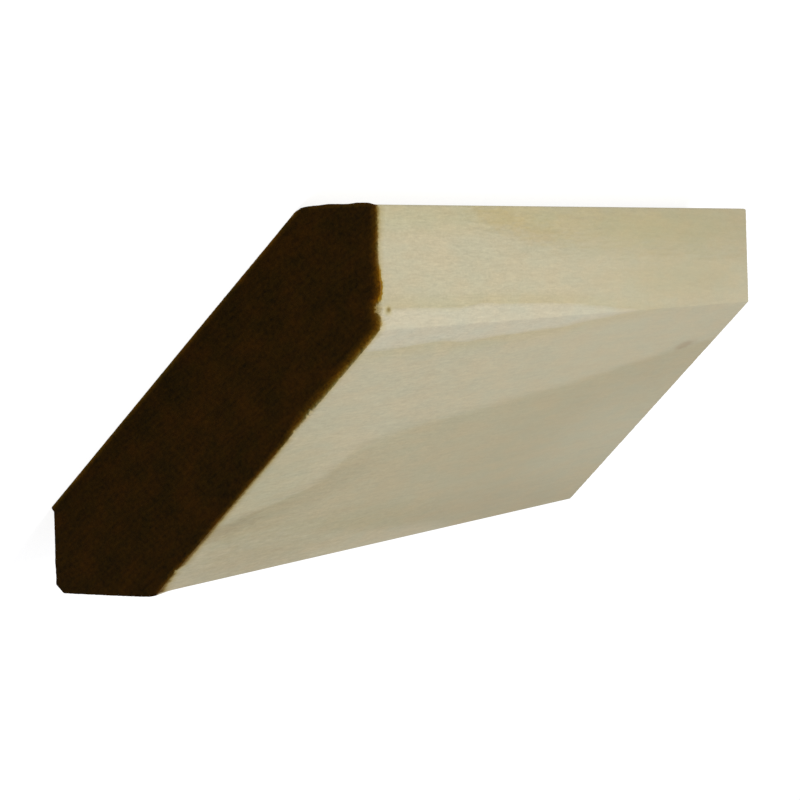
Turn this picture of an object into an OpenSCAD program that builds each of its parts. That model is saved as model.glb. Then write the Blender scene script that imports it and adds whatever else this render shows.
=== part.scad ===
// Crown moulding: one short length of plain flat-faced stock, planed on its long faces and sawn square
// at both ends. It lies on its back, with X along the length, Y across the width and Z through the
// thickness. The origin is the middle of the underside of its bounding box.
// Going round the section anticlockwise from the back, the six faces are the back, the ceiling land,
// the nose, the front, the bottom edge and the wall land.

/* [Stock] */
// Length between the two sawn ends
stock_length = 146; // [60:1:2400]
// Width as the moulding lies, between the sharp corners it is milled to before they are eased
stock_width = 69.85; // [55:0.05:95]
// Thickness between the back and the front face
stock_thickness = 19.05; // [16:0.05:25.4]

/* [Spring] */
// Angle between the back and the wall once the moulding is up
spring_angle = 45; // [38:1:52]
// Width of the land that bears on the ceiling, to its sharp corners
ceiling_land = 11.1; // [6:0.1:14]
// Width of the land that bears on the wall, to its sharp corners
wall_land = 11.6; // [6:0.1:14]

/* [Arrises] */
// Radius of the lightly eased long arrises
arris_radius = 0.4; // [0.2:0.1:1]
// Radius of the softer arris between the back and the ceiling land
ceiling_back_radius = 2.2; // [0.2:0.1:4]
// Leg of the small flat chamfer between the wall land and the bottom edge
toe_chamfer = 0.9; // [0.2:0.1:2]

/* [Hidden] */
// Chords in each rounded arris. One chord makes a flat chamfer.
arc_steps = 6;

// Directions in the lying section, as [Y, Z]: out from the wall, and down from the ceiling
from_wall = [sin(spring_angle), cos(spring_angle)];
from_ceiling = [-cos(spring_angle), sin(spring_angle)];

// The two faces that close the section up to the front
nose_height = (stock_thickness - ceiling_land * from_wall.y) / from_ceiling.y;
bottom_depth = (stock_thickness - wall_land * from_ceiling.y) / from_wall.y;

// How far the sharp corner reaches past the rounded arris at the nose and past the chamfer at the toe
round_overreach = arris_radius * (from_wall.x - from_ceiling.x - 1);
chamfer_overreach = toe_chamfer * min(from_wall.x, -from_ceiling.x);

// Side shift that keeps the eased width centred on the origin
centring = (round_overreach - chamfer_overreach) / 2;

// Sharp corners of the section, anticlockwise
ceiling_front = [centring + stock_width / 2, ceiling_land * from_wall.y];
ceiling_back = ceiling_front - ceiling_land * from_wall;
nose_toe = ceiling_front + nose_height * from_ceiling;
wall_bottom = [centring - stock_width / 2, wall_land * from_ceiling.y];
wall_back = wall_bottom - wall_land * from_ceiling;
bottom_front = wall_bottom + bottom_depth * from_wall;

corners = [ceiling_back, ceiling_front, nose_toe, bottom_front, wall_bottom, wall_back];
radii = [ceiling_back_radius, arris_radius, arris_radius, arris_radius, toe_chamfer, arris_radius];
chords = [arc_steps, arc_steps, arc_steps, arc_steps, 1, arc_steps];

function unit(v) = v / norm(v);
// Direction from corner i to the one before it (-1) or after it (1)
function toward(i, step) = unit(corners[(i + step + len(corners)) % len(corners)] - corners[i]);
// Direction that the face after corner i looks out in
function face_normal(i) = [toward(i, 1).y, -toward(i, 1).x];
// Point on the eased arris of corner i, from 0 at the face before it to 1 at the face after it
function eased(i, share) =
    let (
        half = acos(toward(i, 1) * toward(i, -1)) / 2,
        centre = corners[i] + unit(toward(i, 1) + toward(i, -1)) * radii[i] / sin(half),
        turn = (share - 1) * (180 - 2 * half),
        out = face_normal(i)
    )
    centre + radii[i] * [out.x * cos(turn) - out.y * sin(turn), out.x * sin(turn) + out.y * cos(turn)];

// The whole cross section, with every arris eased
module section() {
    polygon([for (i = [0 : len(corners) - 1]) for (k = [0 : chords[i]]) eased(i, k / chords[i])]);
}

// The stick itself: the section run along X
module crown_moulding() {
    color("burlywood")
        translate([-stock_length / 2, 0, 0])
            rotate([90, 0, 90])
                linear_extrude(height = stock_length)
                    section();
}

crown_moulding();
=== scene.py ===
import math

import bpy
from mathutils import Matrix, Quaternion, Vector, noise
from mathutils.geometry import delaunay_2d_cdt


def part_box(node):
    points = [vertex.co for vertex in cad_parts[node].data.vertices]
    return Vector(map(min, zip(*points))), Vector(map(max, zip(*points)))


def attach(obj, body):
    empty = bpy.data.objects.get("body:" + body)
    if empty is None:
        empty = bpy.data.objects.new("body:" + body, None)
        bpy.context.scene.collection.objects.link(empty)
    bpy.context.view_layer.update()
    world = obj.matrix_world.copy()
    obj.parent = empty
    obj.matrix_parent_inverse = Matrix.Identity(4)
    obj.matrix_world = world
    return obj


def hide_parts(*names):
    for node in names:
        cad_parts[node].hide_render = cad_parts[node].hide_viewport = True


# The finished look of one short length of flat-faced crown moulding in bare planed hardwood, with one
# sawn end stained dark brown. Lengths are in millimetres until a mesh, bump, lamp or camera takes them.
# X runs along the stock from the stained end, Y across it towards the nose, Z up out of the front face.

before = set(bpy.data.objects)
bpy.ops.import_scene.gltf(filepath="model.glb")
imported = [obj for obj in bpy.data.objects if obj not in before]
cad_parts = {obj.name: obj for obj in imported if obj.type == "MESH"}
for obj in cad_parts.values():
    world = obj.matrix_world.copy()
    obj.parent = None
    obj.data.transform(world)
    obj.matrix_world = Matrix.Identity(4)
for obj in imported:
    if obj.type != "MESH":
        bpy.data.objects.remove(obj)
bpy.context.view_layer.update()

MM = 0.001
NODE = "crown_moulding"
low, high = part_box(NODE)
LENGTH = (high.x - low.x) / MM
EASED_WIDTH = (high.y - low.y) / MM
THICKNESS = (high.z - low.z) / MM
SAWN_END = low.x / MM

# Section, as milled
SPRING = math.radians(45)
CEILING_LAND = 11.1
WALL_LAND = 11.6
ARRIS_RADIUS = 0.4
CEILING_BACK_RADIUS = 2.2
TOE_CHAMFER = 0.9
ARC_STEPS = 6

# Growth rings, as distances from a pith that lies below the board and climbs slightly along it
PITH_Y = -7.7
PITH_Z = -69.6
PITH_DRIFT = -0.0009
PITH_RISE = 0.019
HEARTWOOD_RADIUS = 89.86
RING_WIDTHS = [(-73, 4.05), (-55, 4.1), (-36, 3.65), (-22, 3.65), (5, 3.85), (20, 4.0), (73, 4.0)]
# How far the rings swell outwards along the stock: behind the nose, behind the front, and near the toe
NOSE_SWELL = [
    (-73, -0.95), (-58, -0.85), (-44, -0.56), (-30, 0.06), (-18, 0.4), (2, 0.35), (40, 0.0), (73, -0.31),
]
FRONT_SWELL = [(-73, 0.22), (-46, 0.05), (-34, 0.09), (-23, 0.0), (15, -0.16), (40, 0.06), (73, 0.28)]
TOE_SWELL = [
    (-73, 0.52), (-60, 0.38), (-53, 0.25), (-48, 0.16), (-36, 0.03), (-15, -0.03), (15, -0.16), (40, 0.06),
    (73, 0.28),
]
# A hollow in the rings beside the toe
FRONT_HOLLOW = [
    (-73, -0.2), (-66, -0.27), (-60, -0.36), (-54, -0.42), (-51, -0.33), (-49, -0.27), (-44.5, 0.0),
    (73, 0.0),
]
# How strongly the dark line of each ring shows along the stock, and the share of that left away from the nose
LINE_STRENGTH = [
    (-73, 0.4), (-45, 0.5), (-20, 0.5), (-5, 0.4), (10, 0.3), (25, 0.3), (45, 0.1), (73, 0.1),
]
LINE_SHARE_BY_TOE = 0.2
# The line's place within its ring, as shares of the ring: where it rises from and to, and where it fades
LINE_RISE = (0.0, 0.03)
LINE_FADE = (0.26, 0.04)
# Where the growth changes across the stock, as the start and the end of each change
NOSE_WOOD = (26.0, 30.0)
LINED_WOOD = (10.0, 20.0)
HOLLOW_WOOD = (4.0, -1.0)
TOE_WOOD = (6.3, 4.8)
TOE_SLANT = -0.25
# Behind the nose the saw cut the rings at a flatter angle: more feathering, and a softer first boundary
NOSE_FEATHERING = 8.0
SOFT_EDGE_SLOPE = 0.13

# Camera
CAMERA_PLACE = (-408.0, 141.93, 126.2)
CAMERA_AIM = (-1.09, -7.48, 5.57)
CAMERA_ROLL = math.radians(136.44)
CAMERA_LENS = 132.83
CAMERA_NEAR = 10
CAMERA_FAR = 50000


def srgb(red, green, blue):
    """A screen colour, 0 to 255, as the linear colour that the shaders work in."""
    def linear(channel):
        share = channel / 255
        return share / 12.92 if share <= 0.04045 else ((share + 0.055) / 1.055) ** 2.4
    return (linear(red), linear(green), linear(blue), 1.0)


# Section outline

def section_corners():
    """The six sharp corners, anticlockwise, each with the radius and the chords of its easing."""
    from_wall = Vector((math.sin(SPRING), math.cos(SPRING)))
    from_ceiling = Vector((-math.cos(SPRING), math.sin(SPRING)))
    nose_height = (THICKNESS - CEILING_LAND * from_wall.y) / from_ceiling.y
    bottom_depth = (THICKNESS - WALL_LAND * from_ceiling.y) / from_wall.y
    round_overreach = ARRIS_RADIUS * (from_wall.x - from_ceiling.x - 1)
    chamfer_overreach = TOE_CHAMFER * min(from_wall.x, -from_ceiling.x)
    ceiling_front = Vector((EASED_WIDTH / 2 + round_overreach, CEILING_LAND * from_wall.y))
    wall_bottom = Vector((-EASED_WIDTH / 2 - chamfer_overreach, WALL_LAND * from_ceiling.y))
    return [
        (ceiling_front - CEILING_LAND * from_wall, CEILING_BACK_RADIUS, ARC_STEPS),
        (ceiling_front, ARRIS_RADIUS, ARC_STEPS),
        (ceiling_front + nose_height * from_ceiling, ARRIS_RADIUS, ARC_STEPS),
        (wall_bottom + bottom_depth * from_wall, ARRIS_RADIUS, ARC_STEPS),
        (wall_bottom, TOE_CHAMFER, 1),
        (wall_bottom - WALL_LAND * from_ceiling, ARRIS_RADIUS, ARC_STEPS),
    ]


FACES = ["ceiling", "nose", "front", "bottom", "wall", "back"]


class OutlinePoint:
    """A point of the section: its place, the way it faces, and how far along which face it lies."""

    def __init__(self, place, out, face, along):
        self.place = place
        self.out = out
        self.face = face
        self.along = along


def eased_outline(spacing):
    """Points round the whole section, with every arris eased, no further apart than the spacing."""
    corners = section_corners()
    count = len(corners)
    points = []
    for i, (corner, radius, chords) in enumerate(corners):
        before = (corners[i - 1][0] - corner).normalized()
        after_corner = corners[(i + 1) % count][0]
        after = (after_corner - corner).normalized()
        half = math.acos(max(-1.0, min(1.0, before.dot(after)))) / 2
        centre = corner + (before + after).normalized() * radius / math.sin(half)
        face_out = Vector((after.y, -after.x))
        for k in range(chords + 1):
            turn = (k / chords - 1) * (math.pi - 2 * half)
            out = Vector((
                face_out.x * math.cos(turn) - face_out.y * math.sin(turn),
                face_out.x * math.sin(turn) + face_out.y * math.cos(turn),
            ))
            place = centre + radius * out
            at_next = k > chords / 2
            face = FACES[i] if at_next else FACES[i - 1]
            start = corner if at_next else corners[i - 1][0]
            points.append(OutlinePoint(place, out, face, (place - start).length))
        next_corner, next_radius, _ = corners[(i + 1) % count]
        beyond = (corners[(i + 2) % count][0] - next_corner).normalized()
        next_half = math.acos(max(-1.0, min(1.0, (-after).dot(beyond)))) / 2
        first = radius / math.tan(half)
        last = (after_corner - corner).length - next_radius / math.tan(next_half)
        steps = math.ceil((last - first) / spacing)
        for k in range(1, steps):
            along = first + (last - first) * k / steps
            points.append(OutlinePoint(corner + after * along, face_out, FACES[i], along))
    return points


# Wear of the stained end

# Reach of the stain along the stock from the sawn edge: (distance along the face, reach)
STAIN_REACH = {
    "ceiling": [(0, 0.7), (11, 0.7)],
    "nose": [(0, 0.8), (0.7, 0.95), (1.5, 0.75), (3, 0.7), (3.6, 0.7), (4.5, 0.35), (6, 0.2), (6.8, 0.3),
             (7.6, 0.45), (8.3, 0.65), (8.8, 0.6), (9.7, 0.85), (10.6, 0.9), (11.6, 0.8), (12.1, 0.2),
             (12.6, -0.1), (13.8, -0.05), (14.3, 0.35), (15.1, 0.45), (15.8, 0.1)],
    "front": [(0, 0.0), (1.2, 0.05), (7, 0.05), (9, 0.1), (14.0, 0.1), (14.5, -0.1), (16.2, 0.1), (17.9, 0.0),
              (19.5, 0.6), (22, 0.95), (29, 1.1), (34.8, 1.3), (42.5, 1.5), (43.6, 0.3), (44.2, 1.05),
              (45, 0.9), (45.6, 1.55), (46.1, 1.2), (46.7, 1.5), (47.3, 1.95), (48, 2.4)],
    "bottom": [(0, 0.6), (8, 0.35), (16, 0.15)],
    "wall": [(0, 0.15), (6, 0.3), (12, 0.2)],
    "back": [(0, 0.3), (54, 0.3)],
}
# Width over which the stain thins out from dark brown through amber: (distance along the face, width)
STAIN_FADE = {
    "ceiling": [(0, 1.1), (11, 1.1)],
    "nose": [(0, 4.2), (3, 4.2), (4.5, 4.0), (7.2, 4.0), (8.3, 2.1), (12.4, 2.1), (14, 3.0), (15.8, 4.0)],
    "front": [(0, 4.0), (20, 4.0), (48, 4.4)],
    "bottom": [(0, 0.3), (16, 0.2)],
    "wall": [(0, 0.2), (12, 0.2)],
    "back": [(0, 1.5), (54, 1.5)],
}
# The same width on the sawn end itself, inwards from each face
END_FADE = {
    "ceiling": [(0, 0.7), (11, 0.7)],
    "nose": [(0, 1.2), (3.4, 1.2), (4.5, 1.3), (7.5, 1.4), (8.6, 2.0), (12, 2.0), (15.8, 1.95)],
    "front": [(0, 1.5), (8, 1.5), (13, 1.55), (16, 1.35), (21, 0.85), (48, 0.78)],
    "bottom": [(0, 0.8), (16, 0.8)],
    "wall": [(0, 0.8), (12, 0.8)],
    "back": [(0, 0.8), (54, 0.8)],
}
# How the edge of the stain wanders along the stock: (distance, noise scale, noise seed)
STAIN_WANDER = [(0.12, 0.9, 3.1), (0.2, 2.6, 8.7), (0.2, 5.5, 14.9)]
# Where the stain dried thick and glassy, and glows orange: (distance along the face, share)
AMBER_SHARE = {
    "nose": [(0, 0.0), (7.5, 0.0), (8.6, 1.0), (12.0, 1.0), (12.5, 0.15), (14.0, 0.15), (14.6, 0.4),
             (15.8, 0.4)],
    "front": [(0, 0.4), (10, 0.4), (14, 0.0), (48, 0.0)],
}

# Height of the built-up stain proud of each face at the sawn edge, below 0 where the edge is worn
COAT_HEIGHT = {
    "ceiling": [(0.3, 0.0), (1.2, 0.1), (2.0, 0.17), (3.2, 0.22), (4.5, 0.32), (6.2, 0.24), (7.3, 0.22),
                (8.3, 0.33), (9.7, 0.29), (10.3, 0.16), (10.8, -0.06)],
    "nose": [(0, -0.06), (0.4, 0.0), (9.5, 0.0), (10.6, 0.06), (11.4, 0.0), (15.0, 0.0), (15.8, -0.16)],
    "front": [(0, -0.16), (1.2, -0.06), (2.5, 0.0)],
    "bottom": [(0, 0.24), (0.6, 0.36), (1.4, 0.45), (4, 0.43), (7, 0.37), (10, 0.3), (12.5, 0.24),
               (14.2, 0.18)],
    "wall": [(0.6, 0.12), (2, 0.0), (4, 0.08), (6, 0.0), (10.7, -0.04), (11.1, 0.3), (11.5, 0.36)],
    "back": [(0, 0.1), (0.8, 0.0), (30, 0.0), (50, -0.05)],
}
# How far along the stock the built-up stain reaches, and how far on the bottom edge, where it sagged
COAT_LENGTH = 0.7
COAT_LENGTH_BELOW = 2.2

# Chips broken out of the sawn edge: (distance along the face, half width, bite into the face, bite along X)
EDGE_CHIPS = {
    "nose": [(12.0, 0.7, 0.2, 0.3), (12.95, 0.75, 0.6, 0.8), (13.5, 0.5, 0.6, 0.7)],
    "front": [(14.45, 0.35, 0.4, 0.8), (15.15, 0.3, 0.28, 0.6), (17.85, 0.35, 0.26, 0.6),
              (43.7, 0.35, 0.18, 0.6)],
}
# How far a chip sets the sawn edge back, as a share of its bite along X, and the length over which that fades
CHIP_SETBACK = 0.3
CHIP_SETBACK_LENGTH = 0.6


def from_table(table, at):
    """Straight-line reading of a short table of (place, value) pairs."""
    if at <= table[0][0]:
        return table[0][1]
    for (a, value_a), (b, value_b) in zip(table, table[1:]):
        if at <= b:
            return value_a + (value_b - value_a) * (at - a) / (b - a)
    return table[-1][1]


def bump_shape(distance, half_width):
    """1 in the middle, falling smoothly to 0 at the half width."""
    share = min(1.0, abs(distance) / half_width)
    return (1 - share * share) ** 2


def noise_at(place, scale, seed):
    """Smooth noise over the section, from -1 to 1."""
    return noise.noise(Vector((place.x * scale, place.y * scale, seed)))


def stain_margin(point, x):
    """How far inside the stain a place on the long faces lies, as a share of the width it fades over."""
    wander = sum(distance * noise_at(point.place, scale, seed) for distance, scale, seed in STAIN_WANDER)
    reach = from_table(STAIN_REACH[point.face], point.along) + wander
    return (reach - x) / from_table(STAIN_FADE[point.face], point.along)


def amber_at(face, along):
    return from_table(AMBER_SHARE[face], along) if face in AMBER_SHARE else 0.0


def chip_at(point):
    """How far the sawn edge is chipped here: into the face and along the stock, and how bare it is."""
    into, back, bare = 0.0, 0.0, 0.0
    for along, half_width, bite, reach in EDGE_CHIPS.get(point.face, []):
        shape = bump_shape(point.along - along, half_width)
        into = max(into, bite * shape)
        back = max(back, reach * shape)
        bare = max(bare, shape)
    return into, back, bare


# The stock itself

# Distances from either end at which the section is laid down, close together where the edge is worn
END_STEPS = [0.0, 0.1, 0.22, 0.36, 0.52, 0.7, 0.9, 1.15, 1.45, 1.8, 2.3, 3.0, 4.2, 6.0, 9.0, 13.0]
MIDDLE_SPACING = 8.0
OUTLINE_SPACING = 0.25
# Rows of points just inside the edge of an end, whose spacing grows with the inset, and the field within
CAP_INSETS = [0.12, 0.26, 0.45, 0.7, 1.0]
CAP_ROW_SPACING = 0.15
CAP_ROW_WIDENING = 0.3
CAP_SPACING = 0.6
# Fibres torn up and worn back by the saw at each end, and the length along the stock over which that fades
SAWN_FUZZ = 0.03
SAWN_FUZZ_LENGTH = 0.2
SAWN_SETBACK = 0.03
SAWN_SETBACK_LENGTH = 0.12
BARE_FUZZ = 0.05
BARE_FUZZ_LENGTH = 0.25
BARE_WEAR = 0.02
BARE_SETBACK = 0.05
BARE_SETBACK_LENGTH = 0.15
# Furrows that the saw left across the ends: their mean depth, what the furrows and a finer roughness add
# or take away, and the width over which they fade out towards the edge
SAW_SLANT = math.radians(25)
SAW_PITCH = 1.9
SAW_DRIFT = 1.3
SAW_DEPTH = 0.06
SAW_FURROW = 0.035
SAW_ROUGHNESS = 0.02
SAW_EDGE = 0.5
# Edges that turn by more than this stay sharp in the shading
SHARP_ANGLE = math.radians(24)
# What the bare end is told in place of a thickness of stain
UNSTAINED = -9.0


def stations():
    """Distances from the stained end at which the section is laid down."""
    middle = LENGTH - 2 * END_STEPS[-1]
    count = math.ceil(middle / MIDDLE_SPACING)
    inner = [END_STEPS[-1] + middle * k / count for k in range(1, count)]
    return END_STEPS + inner + [LENGTH - step for step in reversed(END_STEPS)]


def keep_within_stock(place):
    """Bring a place that has left the section's box back to the side of the box."""
    place.y = min(max(place.y, 0.0), THICKNESS)
    place.x = min(max(place.x, -EASED_WIDTH / 2), EASED_WIDTH / 2)


def sawn_edge_place(point, x):
    """Where a point of the section goes at a distance from the stained end, and how bare it is chipped."""
    into, back, bare = chip_at(point)
    fade = max(0.0, 1 - x / back) if back else 0.0
    coat_length = COAT_LENGTH_BELOW if point.face == "bottom" else COAT_LENGTH
    coat = from_table(COAT_HEIGHT[point.face], point.along) * math.exp(-((x / coat_length) ** 2))
    fuzz = SAWN_FUZZ * noise_at(point.place, scale=4.3, seed=1.7) * math.exp(-x / SAWN_FUZZ_LENGTH)
    place = point.place + point.out * (coat + fuzz - into * fade)
    # stain that would stand above the level of the front goes out past its edge instead
    if place.y > THICKNESS:
        place.x -= place.y - THICKNESS
    keep_within_stock(place)
    worn = 1 + noise_at(point.place, scale=2.2, seed=5.3)
    setback = SAWN_SETBACK * worn * math.exp(-x / SAWN_SETBACK_LENGTH)
    setback += CHIP_SETBACK * back * bare * math.exp(-x / CHIP_SETBACK_LENGTH)
    return place, x + setback, bare * fade


def bare_edge_place(point, x):
    """Where it goes at a distance from the bare end, which is only slightly furred by the saw."""
    fuzz = BARE_FUZZ * noise_at(point.place, scale=3.7, seed=21.3) - BARE_WEAR
    place = point.place + point.out * fuzz * math.exp(-x / BARE_FUZZ_LENGTH)
    keep_within_stock(place)
    worn = 1 + noise_at(point.place, scale=2.9, seed=15.3)
    setback = BARE_SETBACK * worn * math.exp(-x / BARE_SETBACK_LENGTH)
    return place, x + setback


def face_distances(place):
    """For each face of the section: how far inside it a place on the end lies, and how far along it."""
    corners = section_corners()
    distances = {}
    for i, face in enumerate(FACES):
        start = corners[i][0]
        end = corners[(i + 1) % len(corners)][0]
        along = (end - start).normalized()
        out = Vector((along.y, -along.x))
        distances[face] = ((start - place).dot(out), (place - start).dot(along))
    return distances


def cap_points(outline):
    """Inner points of an end: a few rows just inside the edge, then an even field of points."""
    points = []
    for inset in CAP_INSETS:
        last = None
        for point in outline:
            place = point.place - point.out * inset
            if last is None or (place - last).length > CAP_ROW_SPACING + CAP_ROW_WIDENING * inset:
                points.append(place)
                last = place
    clear = CAP_INSETS[-1] + CAP_SPACING / 2
    columns = int(EASED_WIDTH / CAP_SPACING)
    rows = int(THICKNESS / CAP_SPACING)
    for row in range(rows + 1):
        for column in range(columns + 1):
            shift = 0.5 * (row % 2)
            place = Vector((-EASED_WIDTH / 2 + (column + shift) * CAP_SPACING, row * CAP_SPACING))
            if min(inside for inside, _ in face_distances(place).values()) > clear:
                points.append(place)
    return points


def fill_cap(rim_places, inner_places):
    """Triangles over an end, keeping its rim as it is."""
    count = len(rim_places)
    edges = [(i, (i + 1) % count) for i in range(count)]
    places, _, triangles, origins, _, _ = delaunay_2d_cdt(rim_places + inner_places, edges, [], 1, 1e-6)
    return places, triangles, origins


def saw_depth(place, seed):
    """How deep the saw's furrows lie at a place on an end, with a finer roughness over them."""
    across = -place.x * math.sin(SAW_SLANT) + place.y * math.cos(SAW_SLANT)
    drift = SAW_DRIFT * noise_at(place, scale=0.05, seed=seed)
    furrows = SAW_FURROW * math.sin((across + drift) * 2 * math.pi / SAW_PITCH)
    roughness = SAW_ROUGHNESS * noise_at(place, scale=0.8, seed=seed + 4)
    return max(0.0, SAW_DEPTH + furrows + roughness)


def end_stain(distances):
    """Thickness of the stain on the sawn end, which thins out towards the faces around it."""
    return min(
        from_table(STAIN_REACH[face], along) / from_table(STAIN_FADE[face], along)
        + inside / from_table(END_FADE[face], along)
        for face, (inside, along) in distances.items()
    )


class Skin:
    """The points and faces of the stock, and what the finish has to know at each point."""

    def __init__(self):
        self.points = []
        self.faces = []
        self.stain = []
        self.fresh_wood = []
        self.amber = []

    def add_point(self, place, stain, fresh_wood, amber):
        self.points.append(place)
        self.stain.append(stain)
        self.fresh_wood.append(fresh_wood)
        self.amber.append(amber)
        return len(self.points) - 1


def lay_sides(skin, outline):
    """The long faces, one ring of points after another from the stained end to the bare one."""
    count = len(outline)
    for row, x in enumerate(stations()):
        for point in outline:
            if x < LENGTH / 2:
                place, moved, fresh_wood = sawn_edge_place(point, x)
            else:
                place, from_bare = bare_edge_place(point, LENGTH - x)
                moved = LENGTH - from_bare
                fresh_wood = 0.0
            skin.add_point((SAWN_END + moved, place.x, place.y), stain_margin(point, x), fresh_wood,
                           amber_at(point.face, point.along))
        if row:
            start = (row - 1) * count
            for i in range(count):
                j = (i + 1) % count
                skin.faces.append((start + i, start + j, start + count + j, start + count + i))


def lay_end(skin, outline, ring_start, x, inwards, seed):
    """An end, filled in from its ring of points. Inwards is 1 at the stained end and -1 at the bare one."""
    count = len(outline)
    rim = [Vector(skin.points[ring_start + i][1:]) for i in range(count)]
    places, triangles, origins = fill_cap(rim, cap_points(outline))
    used = {k for triangle in triangles for k in triangle}
    index = {}
    for k, place in enumerate(places):
        if k not in used:
            continue
        on_rim = [origin for origin in origins[k] if origin < count]
        if on_rim:
            index[k] = ring_start + on_rim[0]
            continue
        distances = face_distances(place)
        nearest = min(distances, key=lambda face: distances[face][0])
        inside, along = distances[nearest]
        depth = saw_depth(place, seed) * min(1.0, inside / SAW_EDGE)
        stain = end_stain(distances) if inwards > 0 else UNSTAINED
        sunk = (x + inwards * depth, place.x, place.y)
        index[k] = skin.add_point(sunk, stain, 0.0, amber_at(nearest, along))
    for a, b, c in triangles:
        corners = (index[a], index[b], index[c])
        skin.faces.append(corners if inwards < 0 else corners[::-1])


def build_stock():
    """The stock as one closed mesh, its long faces and its two ends in material slots 0, 1 and 2."""
    outline = eased_outline(OUTLINE_SPACING)
    skin = Skin()
    lay_sides(skin, outline)
    side_faces = len(skin.faces)
    last_ring = len(skin.points) - len(outline)
    lay_end(skin, outline, 0, SAWN_END, inwards=1, seed=2.5)
    stained_faces = len(skin.faces)
    lay_end(skin, outline, last_ring, SAWN_END + LENGTH, inwards=-1, seed=7.5)

    mesh = bpy.data.meshes.new("crown_moulding_stock")
    mesh.from_pydata([tuple(c * MM for c in point) for point in skin.points], [], skin.faces)
    mesh.update()
    for name, values in (("stain", skin.stain), ("fresh_wood", skin.fresh_wood), ("amber", skin.amber)):
        attribute = mesh.attributes.new(name, "FLOAT", "POINT")
        attribute.data.foreach_set("value", values)
    for i, polygon in enumerate(mesh.polygons):
        polygon.material_index = 0 if i < side_faces else 1 if i < stained_faces else 2
        polygon.use_smooth = i < side_faces
    mesh.set_sharp_from_angle(angle=SHARP_ANGLE)
    stock = bpy.data.objects.new("crown_moulding_stock", mesh)
    bpy.context.scene.collection.objects.link(stock)
    return stock


# Shader building

def add(tree, kind, inputs=None, **settings):
    """A node with its settings made and its inputs given as values or as sockets to link."""
    node = tree.nodes.new(kind)
    for name, value in settings.items():
        setattr(node, name, value)
    for name, value in (inputs or {}).items():
        if isinstance(value, bpy.types.NodeSocket):
            tree.links.new(value, node.inputs[name])
        else:
            node.inputs[name].default_value = value
    return node


def calc(tree, operation, *values, clamp=False):
    inputs = dict(enumerate(values))
    return add(tree, "ShaderNodeMath", inputs, operation=operation, use_clamp=clamp).outputs[0]


def weighted(tree, start, outputs, weights):
    """The start value plus each named output times its weight."""
    total = start
    for name, weight in weights.items():
        total = calc(tree, "MULTIPLY_ADD", outputs[name], weight, total)
    return total


def smooth_step(tree, value, start, end):
    node = add(tree, "ShaderNodeMapRange", {"Value": value, "From Min": start, "From Max": end},
               interpolation_type="SMOOTHSTEP")
    return node.outputs["Result"]


def mix_value(tree, factor, first, second):
    return calc(tree, "MULTIPLY_ADD", factor, calc(tree, "SUBTRACT", second, first), first)


def blend_colour(tree, factor, first, second, blend_type="MIX"):
    node = add(tree, "ShaderNodeMix", data_type="RGBA", blend_type=blend_type)
    for name, value in (("Factor_Float", factor), ("A_Color", first), ("B_Color", second)):
        socket = next(s for s in node.inputs if s.identifier == name)
        if isinstance(value, bpy.types.NodeSocket):
            tree.links.new(value, socket)
        else:
            socket.default_value = value
    return next(s for s in node.outputs if s.identifier == "Result_Color")


def tinted(tree, colour, tint, share=1.0):
    """The colour multiplied by a tint, or by a share of it."""
    return blend_colour(tree, share, colour, tint, "MULTIPLY")


def scaled(tree, vector, amount):
    """A place or a colour with its three parts multiplied by one amount."""
    node = add(tree, "ShaderNodeVectorMath", {0: vector, "Scale": amount}, operation="SCALE")
    return node.outputs["Vector"]


def stretched(tree, place, x, y, z):
    """A place with each part multiplied by its own amount, which draws out a pattern where that is small."""
    node = add(tree, "ShaderNodeVectorMath", {0: place, 1: (x, y, z)}, operation="MULTIPLY")
    return node.outputs["Vector"]


def noise_about_zero(tree, place, detail, roughness, scale=1.0, distortion=0.0):
    node = add(tree, "ShaderNodeTexNoise", {
        "Vector": place, "Scale": scale, "Detail": detail, "Roughness": roughness, "Distortion": distortion,
    })
    return calc(tree, "SUBTRACT", node.outputs["Fac"], 0.5)


def ramp(tree, value, first, last, stops):
    """A colour ramp over a range of values, from a list of (value, colour)."""
    share = add(tree, "ShaderNodeMapRange", {"Value": value, "From Min": first, "From Max": last})
    node = add(tree, "ShaderNodeValToRGB", {"Fac": share.outputs["Result"]})
    elements = node.color_ramp.elements
    while len(elements) < len(stops):
        elements.new(1.0)
    for element, (at, colour) in zip(elements, stops):
        element.position = min(1.0, max(0.0, (at - first) / (last - first)))
        element.color = colour
    return node.outputs["Color"]


def along_stock(tree, x, points):
    """A smooth curve over the length of the stock, through a few (X, value) points."""
    values = [value for _, value in points]
    # a little room above and below, where the smooth curve may run past its points
    low, high = min(values) - 0.1, max(values) + 0.1
    half = LENGTH / 2
    share = add(tree, "ShaderNodeMapRange", {"Value": x, "From Min": -half, "From Max": half})
    node = add(tree, "ShaderNodeFloatCurve", {"Value": share.outputs["Result"]})
    curve = node.mapping.curves[0]
    placed = [((at + half) / LENGTH, (value - low) / (high - low)) for at, value in points]
    curve.points[0].location = placed[0]
    curve.points[1].location = placed[-1]
    for spot in placed[1:-1]:
        curve.points.new(*spot)
    node.mapping.update()
    return calc(tree, "MULTIPLY_ADD", node.outputs["Value"], high - low, low)


def new_group(name, inputs, outputs):
    """A shader group with its named inputs and outputs. Inputs are (name, kind, default)."""
    group = bpy.data.node_groups.new(name, "ShaderNodeTree")
    for label, kind, default in inputs:
        socket = group.interface.new_socket(label, in_out="INPUT", socket_type=kind)
        if default is not None:
            socket.default_value = default
    for label, kind in outputs:
        group.interface.new_socket(label, in_out="OUTPUT", socket_type=kind)
    return group, group.nodes.new("NodeGroupInput").outputs, group.nodes.new("NodeGroupOutput")


def give(group, output, **values):
    for name, socket in values.items():
        group.links.new(socket, output.inputs[name.replace("_", " ")])


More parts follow.
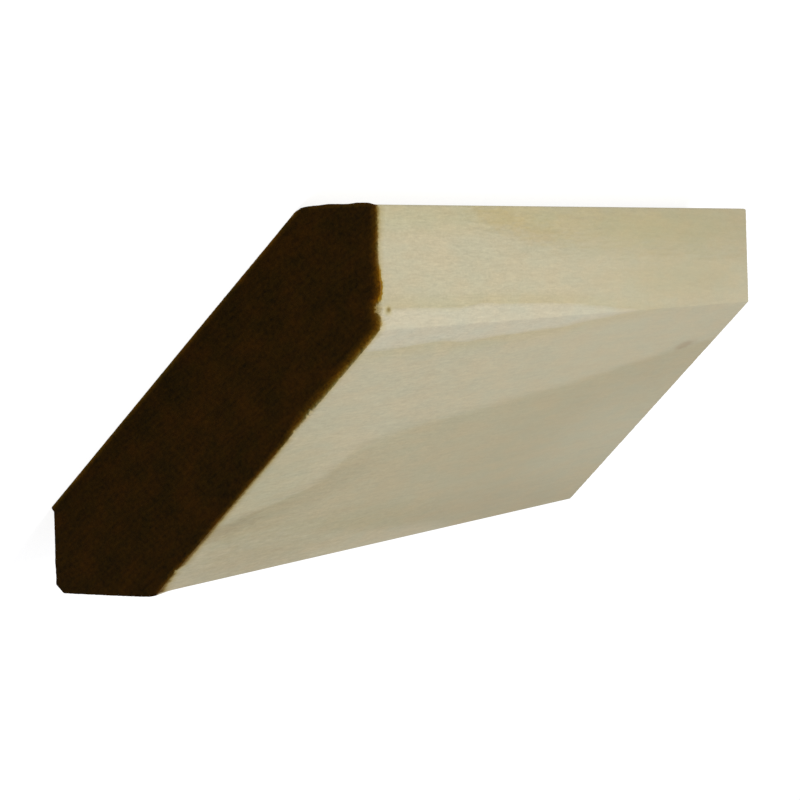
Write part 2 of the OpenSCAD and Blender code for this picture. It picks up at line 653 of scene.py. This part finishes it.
def use(tree, group, **inputs):
    node = tree.nodes.new("ShaderNodeGroup")
    node.node_tree = group
    for name, value in inputs.items():
        socket = node.inputs[name.replace("_", " ")]
        if isinstance(value, bpy.types.NodeSocket):
            tree.links.new(value, socket)
        else:
            socket.default_value = value
    return node.outputs


FLOAT, VECTOR, COLOUR = "NodeSocketFloat", "NodeSocketVector", "NodeSocketColor"


def make_growth_rings():
    """Ring number at a place in the wood, whole at each boundary and growing inwards, the share of the ring
    that lies outside the place, and the dark line just inside each boundary."""
    group, given, output = new_group(
        "growth rings",
        [("Position", VECTOR, None), ("Pith Y", FLOAT, PITH_Y), ("Pith Z", FLOAT, PITH_Z),
         ("Boundary Radius", FLOAT, HEARTWOOD_RADIUS), ("Warp", FLOAT, 0.25), ("Feathering", FLOAT, 0.3),
         ("Soft Edge", FLOAT, 0.3)],
        [("Ring", FLOAT), ("Share", FLOAT), ("Line", FLOAT)],
    )
    parts = add(group, "ShaderNodeSeparateXYZ", {"Vector": given["Position"]}).outputs
    x = parts["X"]
    y = calc(group, "SUBTRACT", parts["Y"], given["Pith Y"])
    y = calc(group, "MULTIPLY_ADD", x, -PITH_DRIFT, y)
    z = calc(group, "SUBTRACT", parts["Z"], given["Pith Z"])
    z = calc(group, "MULTIPLY_ADD", x, -PITH_RISE, z)
    radius = calc(group, "SQRT", calc(group, "MULTIPLY_ADD", y, y, calc(group, "MULTIPLY", z, z)))

    behind_nose = smooth_step(group, parts["Y"], *NOSE_WOOD)
    warp = stretched(group, given["Position"], 0.025, 0.09, 0.09)
    warp = noise_about_zero(group, warp, detail=3.0, roughness=0.5)
    radius = calc(group, "MULTIPLY_ADD", warp, given["Warp"], radius)
    feathers = stretched(group, given["Position"], 0.11, 1.5, 1.5)
    feathers = noise_about_zero(group, feathers, detail=3.0, roughness=0.6)
    feathering = calc(group, "MULTIPLY_ADD", behind_nose, NOSE_FEATHERING, 1.0)
    feathers = calc(group, "MULTIPLY", feathers, feathering)
    radius = calc(group, "MULTIPLY_ADD", feathers, given["Feathering"], radius)

    slanted = calc(group, "MULTIPLY_ADD", x, TOE_SLANT, parts["Y"])
    near_toe = smooth_step(group, slanted, *TOE_WOOD)
    hollow = calc(group, "MULTIPLY", smooth_step(group, parts["Y"], *HOLLOW_WOOD),
                  calc(group, "SUBTRACT", 1.0, near_toe))
    swell = along_stock(group, x, FRONT_SWELL)
    swell = mix_value(group, behind_nose, swell, along_stock(group, x, NOSE_SWELL))
    swell = mix_value(group, near_toe, swell, along_stock(group, x, TOE_SWELL))
    swell = calc(group, "MULTIPLY_ADD", hollow, along_stock(group, x, FRONT_HOLLOW), swell)
    boundary = calc(group, "ADD", given["Boundary Radius"], swell)
    inwards = calc(group, "SUBTRACT", boundary, radius)
    ring = calc(group, "DIVIDE", inwards, along_stock(group, x, RING_WIDTHS))

    off = calc(group, "ABSOLUTE", ring)
    eased = calc(group, "MAXIMUM", calc(group, "SUBTRACT", off, given["Soft Edge"]),
                 calc(group, "MULTIPLY", off, SOFT_EDGE_SLOPE))
    eased = calc(group, "MULTIPLY", eased, calc(group, "SIGN", ring))
    ring = mix_value(group, behind_nose, ring, eased)
    share = calc(group, "FRACT", ring)
    line = smooth_step(group, share, *LINE_RISE)
    line = calc(group, "MULTIPLY", line, smooth_step(group, share, *LINE_FADE))
    lined = mix_value(group, smooth_step(group, parts["Y"], *LINED_WOOD), LINE_SHARE_BY_TOE, 1.0)
    strength = calc(group, "MULTIPLY", along_stock(group, x, LINE_STRENGTH), lined)
    give(group, output, Ring=ring, Share=share, Line=calc(group, "MULTIPLY", line, strength))
    return group


# Share of a mark's half size within which it has its full strength
MARK_CORE = 0.15


def make_oval_patch():
    """A soft-edged oval patch, 1 in its middle, at a place and with half sizes in millimetres, for marks in
    the wood and for painted light.
    """
    group, given, output = new_group(
        "oval patch",
        [("Position", VECTOR, None), ("Centre", VECTOR, None), ("Half Length", FLOAT, 1.0),
         ("Half Width", FLOAT, 1.0), ("Slant", FLOAT, 0.0), ("Ragged", FLOAT, 0.3)],
        [("Mask", FLOAT)],
    )
    away = add(group, "ShaderNodeVectorMath", {0: given["Position"], 1: given["Centre"]},
               operation="SUBTRACT")
    parts = add(group, "ShaderNodeSeparateXYZ", {"Vector": away.outputs["Vector"]}).outputs
    y = calc(group, "SUBTRACT", parts["Y"], calc(group, "MULTIPLY", parts["X"], given["Slant"]))
    place = add(group, "ShaderNodeCombineXYZ", {
        "X": calc(group, "DIVIDE", parts["X"], given["Half Length"]),
        "Y": calc(group, "DIVIDE", y, given["Half Width"]),
        "Z": calc(group, "DIVIDE", parts["Z"], given["Half Width"]),
    }).outputs["Vector"]
    distance = add(group, "ShaderNodeVectorMath", {0: place}, operation="LENGTH").outputs["Value"]
    edge = stretched(group, given["Position"], 0.35, 1.7, 1.7)
    edge = noise_about_zero(group, edge, detail=3.0, roughness=0.6)
    distance = calc(group, "MULTIPLY_ADD", edge, given["Ragged"], distance)
    give(group, output, Mask=smooth_step(group, distance, 1.0, MARK_CORE))
    return group


def make_long_fibres():
    """What runs with the grain, each part about 0: streaks, short flecks, broad blotches, the finest fuzz,
    and slow changes of hue."""
    group, given, output = new_group(
        "long fibres",
        [("Position", VECTOR, None), ("Fineness", FLOAT, 1.0)],
        [("Streaks", FLOAT), ("Flecks", FLOAT), ("Blotches", FLOAT), ("Fuzz", FLOAT), ("Hue", FLOAT)],
    )
    parts = add(group, "ShaderNodeSeparateXYZ", {"Vector": given["Position"]}).outputs
    rise = calc(group, "MULTIPLY_ADD", parts["X"], -PITH_RISE, parts["Z"])
    grain = add(group, "ShaderNodeCombineXYZ", {"X": parts["X"], "Y": parts["Y"], "Z": rise})
    grain = scaled(group, grain.outputs["Vector"], given["Fineness"])

    def along_grain(along, across, detail, roughness, waviness=0.0):
        place = stretched(group, grain, along, across, across)
        return noise_about_zero(group, place, detail, roughness, distortion=waviness)

    give(group, output,
         Streaks=along_grain(0.05, 1.2, detail=4.0, roughness=0.6),
         Flecks=along_grain(0.35, 3.0, detail=2.0, roughness=0.7, waviness=0.7),
         Blotches=along_grain(0.05, 0.2, detail=2.0, roughness=0.5),
         Fuzz=along_grain(1.6, 3.2, detail=2.0, roughness=0.6),
         Hue=along_grain(0.1, 0.38, detail=3.0, roughness=0.55))
    return group


def make_pores():
    """End grain: fine specks of open pores and soft clouds, both about 0, and broad blotches from 0 to 1."""
    group, given, output = new_group(
        "end grain pores",
        [("Position", VECTOR, None)],
        [("Specks", FLOAT), ("Blotches", FLOAT), ("Clouds", FLOAT)],
    )
    place = given["Position"]
    blotches = stretched(group, place, 0.3, 0.4, 0.6)
    blotches = noise_about_zero(group, blotches, detail=4.0, roughness=0.6)
    give(group, output,
         Specks=noise_about_zero(group, place, detail=4.0, roughness=0.75, scale=1.7),
         Blotches=smooth_step(group, blotches, -0.15, 0.15),
         Clouds=noise_about_zero(group, place, detail=2.0, roughness=0.5, scale=0.22))
    return group


# How fast a scratch changes along its own length, beside a change of 1 across it for each spacing
SCRATCH_DRAW = 0.35


def make_saw_marks():
    """Parallel scratches that a saw leaves on an end, as a height about 0."""
    group, given, output = new_group(
        "saw marks",
        [("Position", VECTOR, None), ("Slant", FLOAT, 0.15), ("Spacing", FLOAT, 0.45)],
        [("Height", FLOAT)],
    )
    parts = add(group, "ShaderNodeSeparateXYZ", {"Vector": given["Position"]}).outputs
    cosine = calc(group, "COSINE", given["Slant"])
    sine = calc(group, "SINE", given["Slant"])
    across = calc(group, "SUBTRACT", calc(group, "MULTIPLY", parts["Z"], cosine),
                  calc(group, "MULTIPLY", parts["Y"], sine))
    along = calc(group, "ADD", calc(group, "MULTIPLY", parts["Z"], sine),
                 calc(group, "MULTIPLY", parts["Y"], cosine))
    place = add(group, "ShaderNodeCombineXYZ", {
        "X": calc(group, "DIVIDE", across, given["Spacing"]),
        "Y": calc(group, "MULTIPLY", along, SCRATCH_DRAW),
    }).outputs["Vector"]
    give(group, output, Height=noise_about_zero(group, place, detail=4.0, roughness=0.7))
    return group


# Thickness of stain that a chip keeps, and the range of thickness over which stain comes to seal the wood
FRESH_STAIN = 0.075
SEALING_STAIN = (-0.1, 0.15)
# Light that the stain lets through, red, green and blue, by its thickness. Below 0 it has only soaked in.
STAIN_STOPS = [
    (-0.4, (1.0, 1.0, 1.0, 1)),
    (-0.15, (0.94, 0.91, 0.83, 1)),
    (0.0, (0.86, 0.79, 0.63, 1)),
    (0.06, (0.75, 0.68, 0.46, 1)),
    (0.12, (0.56, 0.45, 0.23, 1)),
    (0.2, (0.375, 0.265, 0.085, 1)),
    (0.3, (0.245, 0.145, 0.022, 1)),
    (0.5, (0.14, 0.064, 0.003, 1)),
    (0.77, (0.084, 0.042, 0.003, 1)),
    (1.1, (0.051, 0.0245, 0.002, 1)),
]
# The same where it dried thick and glassy
AMBER_STOPS = [
    (-0.4, (1.0, 1.0, 1.0, 1)),
    (-0.02, (0.93, 0.89, 0.72, 1)),
    (0.03, (0.6, 0.46, 0.13, 1)),
    (0.09, (0.53, 0.34, 0.02, 1)),
    (0.22, (0.46, 0.25, 0.005, 1)),
    (0.38, (0.34, 0.15, 0.003, 1)),
    (0.55, (0.2, 0.087, 0.002, 1)),
    (0.8, (0.085, 0.037, 0.002, 1)),
    (1.1, (0.051, 0.0245, 0.002, 1)),
]


def make_stain():
    """The dark brown end stain: the light that it lets through, and how far it seals the wood."""
    group, given, output = new_group(
        "end stain",
        [("Position", VECTOR, None), ("Stain", FLOAT, 0.0), ("Fresh Wood", FLOAT, 0.0), ("Amber", FLOAT, 0.0),
         ("Ragged", FLOAT, 0.25)],
        [("Tint", COLOUR), ("Cover", FLOAT)],
    )
    edge = noise_about_zero(group, given["Position"], detail=3.0, roughness=0.6, scale=3.2)
    thickness = calc(group, "MULTIPLY_ADD", edge, given["Ragged"], given["Stain"])
    thickness = mix_value(group, given["Fresh Wood"], thickness, FRESH_STAIN)
    brown = ramp(group, thickness, STAIN_STOPS[0][0], STAIN_STOPS[-1][0], STAIN_STOPS)
    glassy = ramp(group, thickness, AMBER_STOPS[0][0], AMBER_STOPS[-1][0], AMBER_STOPS)
    give(group, output, Tint=blend_colour(group, given["Amber"], brown, glassy),
         Cover=smooth_step(group, thickness, *SEALING_STAIN))
    return group


# Wood colours by ring number, outermost first
PALE_SAPWOOD = srgb(194, 188, 164)
SAPWOOD = srgb(188, 180, 151)
DARK_RING = srgb(178, 169, 138)
INNER_RING = srgb(182, 173, 141)
INNER_WOOD = srgb(184, 177, 149)
LATEWOOD_LINE = srgb(184, 174, 136)
RING_RANGE = (-3.0, 7.0)


def wood_stops():
    """Colours by ring number: each ring starts darker on its outer side and pales inwards."""
    first, last = RING_RANGE
    stops = [(first, PALE_SAPWOOD), (-1.03, PALE_SAPWOOD), (-0.98, SAPWOOD), (-0.04, SAPWOOD),
             (0.04, DARK_RING), (0.35, DARK_RING), (0.6, INNER_RING), (0.97, INNER_WOOD)]
    for ring in range(1, int(last)):
        stops += [(ring + 0.03, INNER_RING), (ring + 0.97, INNER_WOOD)]
    return stops


# Marks in the planed faces, and a painted pool of light: (centre, half length, half width, slant, raggedness,
# tint laid over the wood)
WOOD_MARKS_AND_PAINTED_LIGHT = [
    # a pin knot beside the chipped nose
    ((-70.5, 25.3, 17.25), 1.0, 0.5, 0.0, 0.5, (0.52, 0.46, 0.24, 1)),
    ((-70.7, 25.2, 17.35), 1.9, 1.1, 0.0, 0.9, (0.9, 0.86, 0.68, 1)),
    # a mineral streak near the bare end
    ((59.0, 14.0, 19.05), 6.0, 1.5, 0.06, 0.8, (0.86, 0.78, 0.74, 1)),
    # the darkest part of the grain, running out at the stained end
    ((-68.0, -12.6, 19.05), 10.0, 2.6, 0.15, 1.2, (0.92, 0.88, 0.86, 1)),
    ((-50.0, -8.0, 19.05), 24.0, 6.0, 0.25, 1.0, (0.95, 0.93, 0.91, 1)),
    ((-74.0, -7.0, 19.05), 34.0, 20.0, 0.0, 0.5, (0.92, 0.93, 0.89, 1)),
    ((-30.0, -19.0, 19.05), 50.0, 7.0, 0.0, 0.8, (0.955, 0.95, 0.91, 1)),
    # warm late wood behind the ceiling edge
    ((-34.0, 33.4, 9.1), 15.0, 2.4, -0.1, 1.4, (0.99, 0.95, 0.86, 1)),
    ((-19.0, 32.0, 10.6), 13.0, 2.2, -0.05, 1.4, (0.98, 0.94, 0.87, 1)),
    ((35.0, 32.5, 10.0), 60.0, 6.0, 0.0, 0.5, (0.975, 0.975, 0.91, 1)),
    ((42.0, 27.0, 15.5), 50.0, 6.0, 0.0, 0.5, (0.955, 0.945, 0.89, 1)),
    ((-60.0, 34.0, 8.6), 90.0, 4.0, 0.0, 0.5, (0.98, 0.98, 0.92, 1)),
    # darker along the toe side of the front, most near the stained end
    ((-52.0, -22.0, 19.05), 36.0, 9.0, 0.0, 0.8, (0.89, 0.87, 0.84, 1)),
    ((20.0, -22.0, 19.05), 70.0, 10.0, 0.0, 0.5, (0.95, 0.94, 0.94, 1)),
    # a painted pool of cool light on the front towards the bare end
    ((58.0, -6.0, 19.05), 42.0, 20.0, 0.0, 0.5, (1.01, 1.035, 1.09, 1)),
]


# Tints between which each finish wanders
COOL_WOOD = (0.975, 1.004, 1.02, 1)
WARM_WOOD = (1.025, 0.997, 0.975, 1)
COOL_STAIN = (0.89, 1.03, 1.05, 1)
WARM_STAIN = (1.1, 0.98, 0.88, 1)
COOL_END = (0.98, 0.99, 1.0, 1)
WARM_END = (1.02, 1.0, 0.95, 1)
# The stretch along the stock over which the fine figure of the planed faces grows from half to full
FIGURE_STRETCH = (30.0, -50.0)
FIGURE_LEAST = 0.5


def position_in_mm(tree):
    return scaled(tree, add(tree, "ShaderNodeTexCoord").outputs["Object"], 1 / MM)


def ring_colour(tree, rings):
    wood = ramp(tree, rings["Ring"], *RING_RANGE, wood_stops())
    return blend_colour(tree, rings["Line"], wood, LATEWOOD_LINE)


def stain_coat(tree, groups, place):
    """The end stain, as the mesh says how thick, how glassy and how far chipped off it is."""
    stain = add(tree, "ShaderNodeAttribute", attribute_name="stain").outputs["Fac"]
    fresh = add(tree, "ShaderNodeAttribute", attribute_name="fresh_wood").outputs["Fac"]
    amber = add(tree, "ShaderNodeAttribute", attribute_name="amber").outputs["Fac"]
    return use(tree, groups["stain"], Position=place, Stain=stain, Fresh_Wood=fresh, Amber=amber)


def new_material(name):
    material = bpy.data.materials.new(name)
    material.use_nodes = True
    tree = material.node_tree
    tree.nodes.clear()
    output = tree.nodes.new("ShaderNodeOutputMaterial")
    shader = tree.nodes.new("ShaderNodeBsdfPrincipled")
    tree.links.new(shader.outputs["BSDF"], output.inputs["Surface"])
    return material, tree, shader


def finish_shader(tree, shader, colour, roughness, height, depth, strength):
    """Link the colour, the roughness and a relief of that depth in millimetres to the shader."""
    bump = add(tree, "ShaderNodeBump", {"Height": height, "Distance": depth * MM, "Strength": strength})
    tree.links.new(colour, shader.inputs["Base Color"])
    tree.links.new(roughness, shader.inputs["Roughness"])
    tree.links.new(bump.outputs["Normal"], shader.inputs["Normal"])


def planed_wood(groups):
    material, tree, shader = new_material("planed_wood")
    place = position_in_mm(tree)
    rings = use(tree, groups["rings"], Position=place)
    fibres = use(tree, groups["fibres"], Position=place)
    coat = stain_coat(tree, groups, place)
    x = add(tree, "ShaderNodeSeparateXYZ", {"Vector": place}).outputs["X"]
    strength = mix_value(tree, smooth_step(tree, x, *FIGURE_STRETCH), FIGURE_LEAST, 1.0)
    figure = weighted(tree, 0.0, fibres, {"Flecks": 0.42, "Fuzz": 0.2})
    tone = calc(tree, "MULTIPLY_ADD", figure, strength, 1.0)
    tone = weighted(tree, tone, fibres, {"Streaks": 0.1, "Blotches": 0.05})
    hue = blend_colour(tree, smooth_step(tree, fibres["Hue"], -0.2, 0.2), COOL_WOOD, WARM_WOOD)
    colour = tinted(tree, scaled(tree, ring_colour(tree, rings), tone), hue)
    # marks in the wood, and a painted pool of cool light, each laid over the wood as a tint
    for centre, half_length, half_width, slant, ragged, tint in WOOD_MARKS_AND_PAINTED_LIGHT:
        mark = use(tree, groups["mark"], Position=place, Centre=centre, Half_Length=half_length,
                   Half_Width=half_width, Slant=slant, Ragged=ragged)
        colour = tinted(tree, colour, tint, mark["Mask"])
    colour = tinted(tree, colour, coat["Tint"])
    roughness = weighted(tree, 0.62, fibres, {"Flecks": 0.2})
    roughness = calc(tree, "MULTIPLY_ADD", coat["Cover"], 0.4, roughness, clamp=True)
    height = weighted(tree, fibres["Flecks"], fibres, {"Streaks": 0.3})
    finish_shader(tree, shader, colour, roughness, height, depth=0.03, strength=0.3)
    shader.inputs["Specular IOR Level"].default_value = 0.25
    return material


def stained_end(groups):
    material, tree, shader = new_material("stained_end_grain")
    place = position_in_mm(tree)
    rings = use(tree, groups["rings"], Position=place)
    saw = use(tree, groups["saw"], Position=place)
    pores = use(tree, groups["pores"], Position=place)
    coat = stain_coat(tree, groups, place)
    tone = weighted(tree, 0.93, pores, {"Clouds": 0.9, "Specks": 2.2})
    tone = weighted(tree, tone, saw, {"Height": 1.3})
    tone = weighted(tree, tone, rings, {"Share": 0.08})
    warmth = weighted(tree, 0.25, pores, {"Blotches": 0.5})
    warmth = calc(tree, "MULTIPLY_ADD", pores["Clouds"], 2.2, warmth, clamp=True)
    hue = blend_colour(tree, warmth, COOL_STAIN, WARM_STAIN)
    colour = tinted(tree, scaled(tree, tinted(tree, SAPWOOD, coat["Tint"]), tone), hue)
    roughness = weighted(tree, 0.62, saw, {"Height": 0.3})
    finish_shader(tree, shader, colour, roughness, saw["Height"], depth=0.08, strength=0.6)
    shader.inputs["Specular IOR Level"].default_value = 0.03
    return material


def bare_end(groups):
    material, tree, shader = new_material("bare_end_grain")
    place = position_in_mm(tree)
    rings = use(tree, groups["rings"], Position=place)
    saw = use(tree, groups["saw"], Position=place, Slant=-0.3)
    pores = use(tree, groups["pores"], Position=place)
    pale_wood = smooth_step(tree, rings["Share"], 0.0, 0.3)
    tone = weighted(tree, 0.76, saw, {"Height": 0.45})
    tone = calc(tree, "MULTIPLY_ADD", pale_wood, 0.12, tone)
    tone = weighted(tree, tone, pores, {"Specks": 0.5})
    hue = blend_colour(tree, pores["Blotches"], COOL_END, WARM_END)
    colour = tinted(tree, scaled(tree, ring_colour(tree, rings), tone), hue)
    roughness = weighted(tree, 0.75, saw, {"Height": 0.2})
    finish_shader(tree, shader, colour, roughness, saw["Height"], depth=0.1, strength=0.7)
    shader.inputs["Specular IOR Level"].default_value = 0.2
    return material


# Camera, floor and light

def place_camera():
    data = bpy.data.cameras.new("camera")
    camera = bpy.data.objects.new("camera", data)
    bpy.context.scene.collection.objects.link(camera)
    place = Vector(CAMERA_PLACE)
    aim = Vector(CAMERA_AIM) - place
    camera.location = place * MM
    camera.rotation_mode = "QUATERNION"
    camera.rotation_quaternion = aim.to_track_quat("-Z", "Y") @ Quaternion((0, 0, 1), CAMERA_ROLL)
    data.sensor_width = 36
    data.lens = CAMERA_LENS
    data.clip_start = CAMERA_NEAR * MM
    data.clip_end = CAMERA_FAR * MM
    bpy.context.scene.camera = camera


FLOOR_HALF_SIZE = 4000
FLOOR_DROP = 0.02
# The floor's grey as it lights the stock, its grey as it takes the shadow, and the glow that makes it white
FLOOR_BOUNCE = 0.8
FLOOR_SHADE = 0.3
FLOOR_GLOW = 0.86


def grey_surface(tree, level):
    return add(tree, "ShaderNodeBsdfDiffuse", {"Color": (level, level, level, 1)}).outputs["BSDF"]


def lay_floor():
    """A plain white floor that keeps a faint shadow of the stock."""
    half = FLOOR_HALF_SIZE * MM
    mesh = bpy.data.meshes.new("floor")
    corners = [(-half, -half, 0), (half, -half, 0), (half, half, 0), (-half, half, 0)]
    mesh.from_pydata(corners, [], [(0, 1, 2, 3)])
    floor = bpy.data.objects.new("floor", mesh)
    floor.location.z = -FLOOR_DROP * MM
    bpy.context.scene.collection.objects.link(floor)
    material = bpy.data.materials.new("white_floor")
    material.use_nodes = True
    tree = material.node_tree
    tree.nodes.clear()
    output = tree.nodes.new("ShaderNodeOutputMaterial")
    light_path = add(tree, "ShaderNodeLightPath").outputs
    seen = calc(tree, "MAXIMUM", light_path["Is Camera Ray"],
                calc(tree, "MAXIMUM", light_path["Is Glossy Ray"], light_path["Is Transmission Ray"]))
    glow = add(tree, "ShaderNodeEmission", {"Color": (1, 1, 1, 1), "Strength": FLOOR_GLOW})
    shade = grey_surface(tree, FLOOR_SHADE)
    white = add(tree, "ShaderNodeAddShader", {0: shade, 1: glow.outputs["Emission"]})
    mixed = add(tree, "ShaderNodeMixShader", {
        0: seen, 1: grey_surface(tree, FLOOR_BOUNCE), 2: white.outputs["Shader"],
    })
    tree.links.new(mixed.outputs["Shader"], output.inputs["Surface"])
    mesh.materials.append(material)


SKY_TINT = (0.99, 0.99, 1.08, 1)
SKY_STRENGTH = 0.53
KEY_TINT = (1.0, 0.975, 0.86)
KEY_PLACE = (-40, 250, 350)
KEY_AIM = (0, 0, 10)
KEY_SIZE = 300
KEY_POWER = 1.0


def light_sky():
    """An even, faintly cool light from all round, and plain white where the camera sees past the floor."""
    world = bpy.data.worlds.new("studio")
    bpy.context.scene.world = world
    world.use_nodes = True
    tree = world.node_tree
    tree.nodes.clear()
    output = tree.nodes.new("ShaderNodeOutputWorld")
    seen = add(tree, "ShaderNodeLightPath").outputs["Is Camera Ray"]
    soft = add(tree, "ShaderNodeBackground", {"Color": SKY_TINT, "Strength": SKY_STRENGTH})
    white = add(tree, "ShaderNodeBackground", {"Color": (1, 1, 1, 1), "Strength": 1.0})
    mixed = add(tree, "ShaderNodeMixShader", {
        0: seen, 1: soft.outputs["Background"], 2: white.outputs["Background"],
    })
    tree.links.new(mixed.outputs["Shader"], output.inputs["Surface"])


def hang_key_lamp():
    """A broad warm lamp above the nose side, near the stained end."""
    data = bpy.data.lights.new("key", "AREA")
    data.shape = "DISK"
    data.size = KEY_SIZE * MM
    data.energy = KEY_POWER
    data.color = KEY_TINT
    lamp = bpy.data.objects.new("key", data)
    place = Vector(KEY_PLACE)
    lamp.location = place * MM
    lamp.rotation_mode = "QUATERNION"
    lamp.rotation_quaternion = (Vector(KEY_AIM) - place).to_track_quat("-Z", "Y")
    bpy.context.scene.collection.objects.link(lamp)


def main():
    place_camera()
    lay_floor()
    light_sky()
    hang_key_lamp()
    groups = {
        "rings": make_growth_rings(),
        "fibres": make_long_fibres(),
        "mark": make_oval_patch(),
        "pores": make_pores(),
        "saw": make_saw_marks(),
        "stain": make_stain(),
    }
    stock = build_stock()
    for material in (planed_wood(groups), stained_end(groups), bare_end(groups)):
        stock.data.materials.append(material)
    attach(stock, "root")
    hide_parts(NODE)
    bpy.context.scene.view_settings.view_transform = "Standard"


main()
